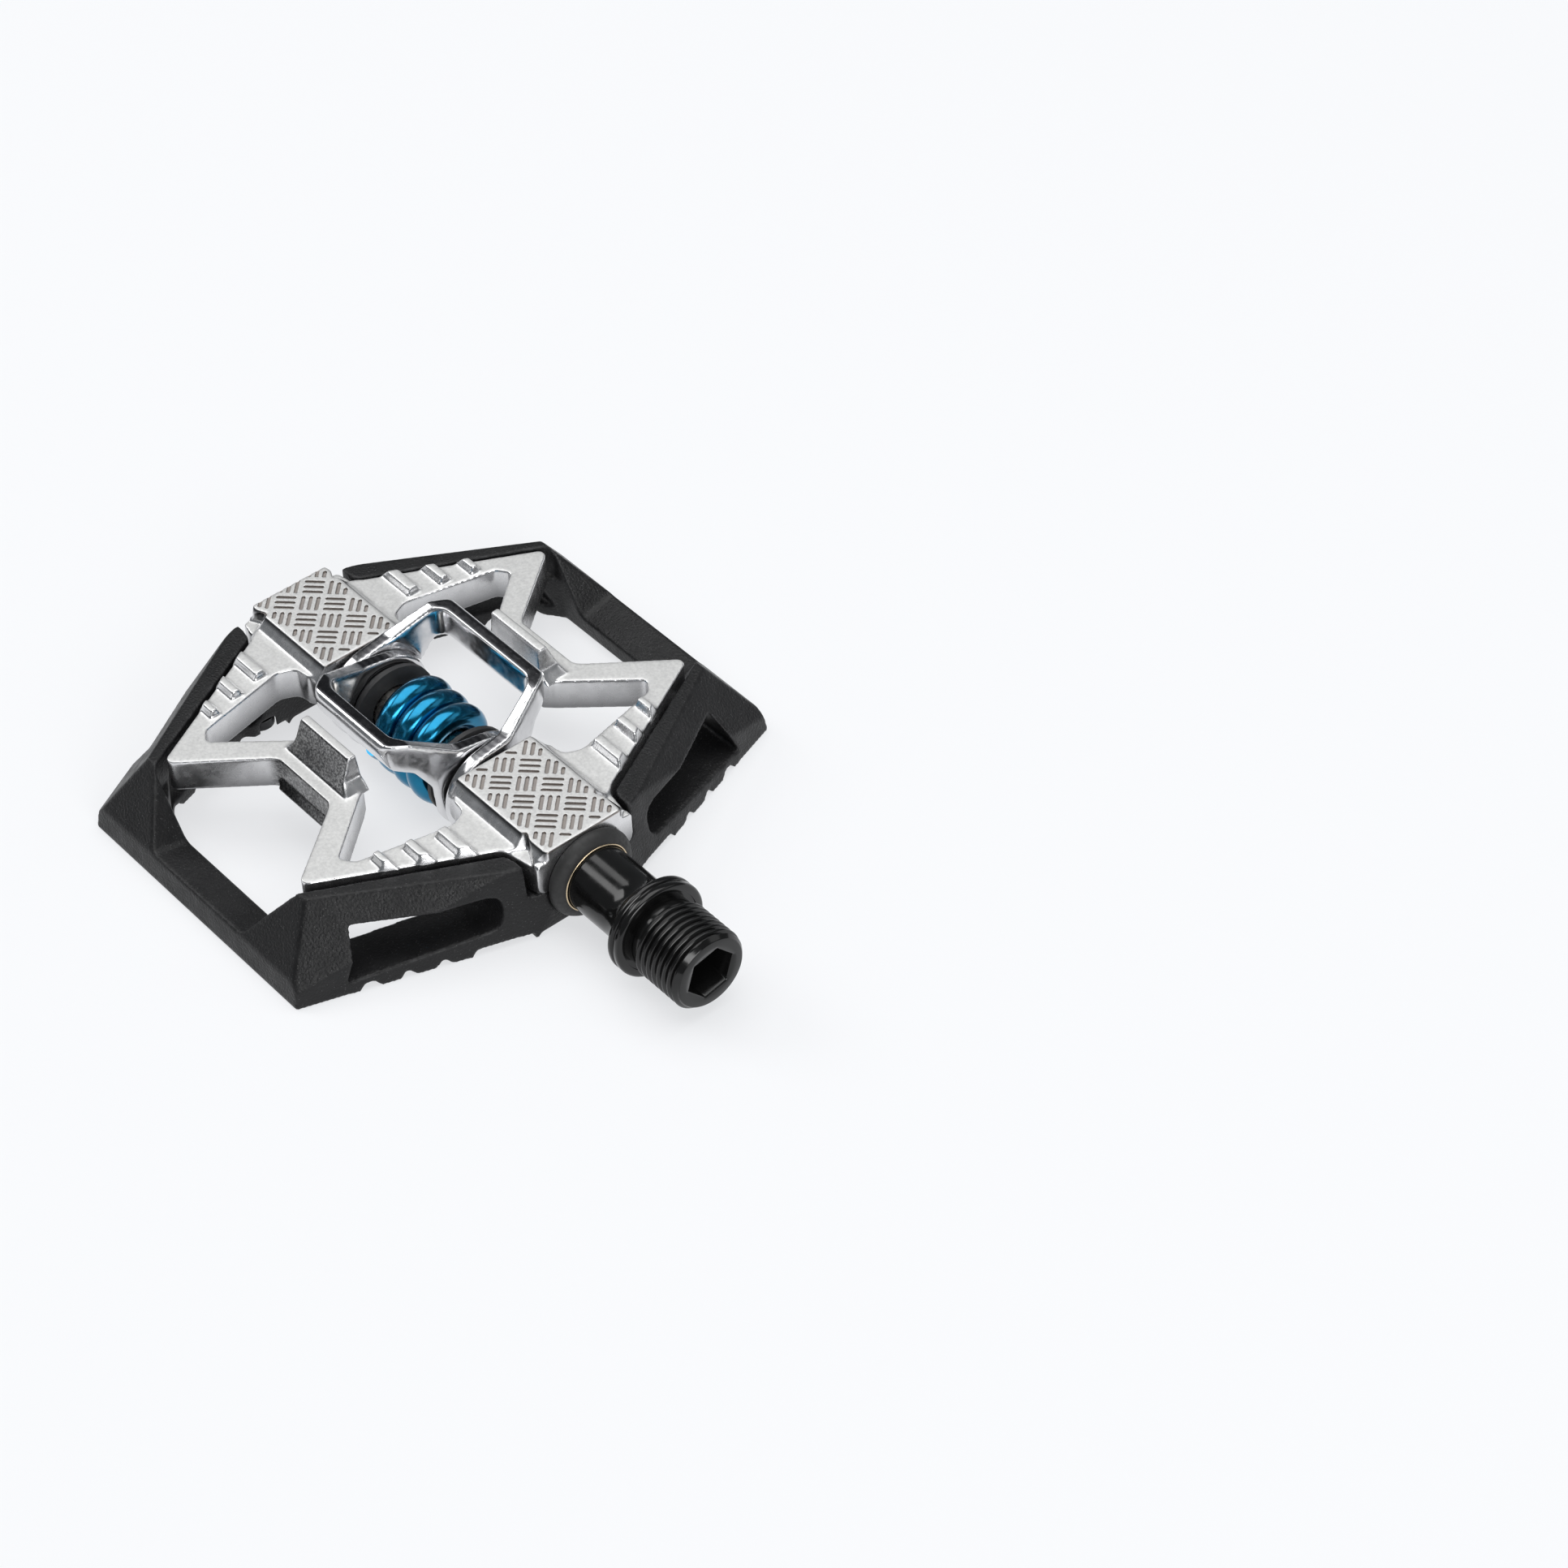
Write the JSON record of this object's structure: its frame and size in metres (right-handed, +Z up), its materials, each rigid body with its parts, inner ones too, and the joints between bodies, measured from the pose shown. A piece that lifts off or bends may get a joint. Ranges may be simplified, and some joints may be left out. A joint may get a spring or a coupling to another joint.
{
  "type": "clipless bicycle pedal",
  "caption": "Clipless bicycle pedal with sprung wings on one side, a wide caged platform body and a threaded spindle.",
  "frame": {"origin": "centre of the bounding box in plan, on the floor that the flat side lies on", "axes": "+X along the spindle towards the crank, +Y towards the aft edge, +Z up out of the clip side"},
  "size_m": [0.113, 0.0976, 0.0228],
  "materials": {
    "cage": "satin black powder coat, fine grain",
    "chassis": "tumbled and polished casting",
    "crank_side_seal": "black rubber",
    "seal_shield": "bright steel",
    "end_cap": "satin silver",
    "end_cap_o_ring": "black rubber",
    "hub_tube": "ground steel",
    "plain_bush": "bearing bronze",
    "bearing_outer_race": "ground steel",
    "pivot_sleeve_crank": "black moulded plastic",
    "pivot_sleeve_cap": "black moulded plastic",
    "torsion_spring": "glossy metallic blue coating",
    "cage_screw_1": "black oxide steel",
    "cage_screw_2": "black oxide steel",
    "cage_screw_3": "black oxide steel",
    "cage_screw_4": "black oxide steel",
    "spindle": "gloss black over steel",
    "bearing_inner_race": "ground steel",
    "spindle_washer": "zinc plated",
    "spindle_locknut": "zinc plated",
    "bearing_ball_1": "polished steel",
    "bearing_ball_2": "polished steel",
    "bearing_ball_3": "polished steel",
    "bearing_ball_4": "polished steel",
    "bearing_ball_5": "polished steel",
    "bearing_ball_6": "polished steel",
    "bearing_ball_7": "polished steel",
    "bearing_ball_8": "polished steel",
    "wing_inner": "polished stainless steel",
    "wing_outer": "polished stainless steel"
  },
  "bodies": {
    "pedal_body": {"cage": "cage", "chassis": "chassis", "crank_side_seal": "crank_side_seal", "seal_shield": "seal_shield", "end_cap": "end_cap", "end_cap_o_ring": "end_cap_o_ring", "hub_tube": "hub_tube", "plain_bush": "plain_bush", "bearing_outer_race": "bearing_outer_race", "pivot_sleeve_crank": "pivot_sleeve_crank", "pivot_sleeve_cap": "pivot_sleeve_cap", "torsion_spring": "torsion_spring", "cage_screw_1": "cage_screw_1", "cage_screw_2": "cage_screw_2", "cage_screw_3": "cage_screw_3", "cage_screw_4": "cage_screw_4"},
    "spindle_assembly": {"spindle": "spindle", "bearing_inner_race": "bearing_inner_race", "spindle_washer": "spindle_washer", "spindle_locknut": "spindle_locknut"},
    "ball_set": {"bearing_ball_1": "bearing_ball_1", "bearing_ball_2": "bearing_ball_2", "bearing_ball_3": "bearing_ball_3", "bearing_ball_4": "bearing_ball_4", "bearing_ball_5": "bearing_ball_5", "bearing_ball_6": "bearing_ball_6", "bearing_ball_7": "bearing_ball_7", "bearing_ball_8": "bearing_ball_8"},
    "inner_wing": {"wing_inner": "wing_inner"},
    "outer_wing": {"wing_outer": "wing_outer"}
  },
  "joints": [
    {"name": "spindle_turn", "type": "hinge", "parent": "pedal_body", "child": "spindle_assembly", "pos_m": [-0.01605, 0, 0.009], "axis": [1, 0, 0], "continuous": true},
    {"name": "ball_set_turn", "type": "hinge", "parent": "pedal_body", "child": "ball_set", "pos_m": [-0.01605, 0, 0.009], "axis": [1, 0, 0], "continuous": true},
    {"name": "wing_inner_open", "type": "hinge", "parent": "pedal_body", "child": "inner_wing", "pos_m": [-0.01605, 0, 0.009], "axis": [1, 0, 0], "range_deg": [0, 10], "stiffness_Nm_per_rad": 4, "springref_deg": -17.19},
    {"name": "wing_outer_open", "type": "hinge", "parent": "pedal_body", "child": "outer_wing", "pos_m": [-0.01605, 0, 0.009], "axis": [1, 0, 0], "range_deg": [-10, 0], "stiffness_Nm_per_rad": 4, "springref_deg": 17.19}
  ],
  "couplings": [
    {"joint": "ball_set_turn", "follows": "spindle_turn", "ratio": 0.421}
  ]
}
